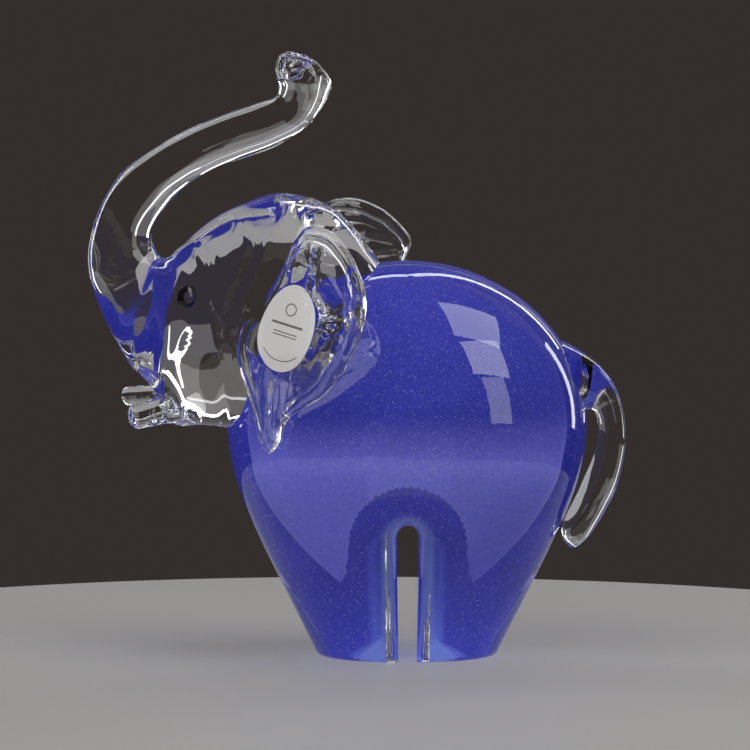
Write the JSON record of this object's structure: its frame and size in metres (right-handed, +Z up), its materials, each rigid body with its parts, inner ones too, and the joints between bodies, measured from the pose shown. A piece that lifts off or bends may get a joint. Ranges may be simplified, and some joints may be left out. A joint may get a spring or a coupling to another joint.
{
  "type": "glass elephant figurine",
  "caption": "Solid crystal glass elephant ornament with a cobalt core in its body, raised trunk, cupped ears, stub tusks and a looped tail.",
  "frame": {"origin": "on the table, under the middle of the figurine's bounding box", "axes": "+Z up, -X the way the elephant faces, -Y its left side, which carries the sticker"},
  "size_m": [0.1412, 0.0886, 0.1582],
  "materials": {
    "clear_crystal": "fire-polished clear lead crystal",
    "cobalt_glass": "cobalt glass with a lilac powder layer and fine seed bubbles",
    "dark_glass": "near-black glass bead, glossy",
    "label_paper": "off-white coated paper sticker"
  },
  "bodies": {
    "root": {"body_casing": "clear_crystal", "blue_core": "cobalt_glass", "head_and_trunk": "clear_crystal", "left_ear": "clear_crystal", "right_ear": "clear_crystal", "left_tusk": "clear_crystal", "right_tusk": "clear_crystal", "left_eye": "dark_glass", "right_eye": "dark_glass", "tail": "clear_crystal", "ear_label": "label_paper"}
  },
  "joints": []
}
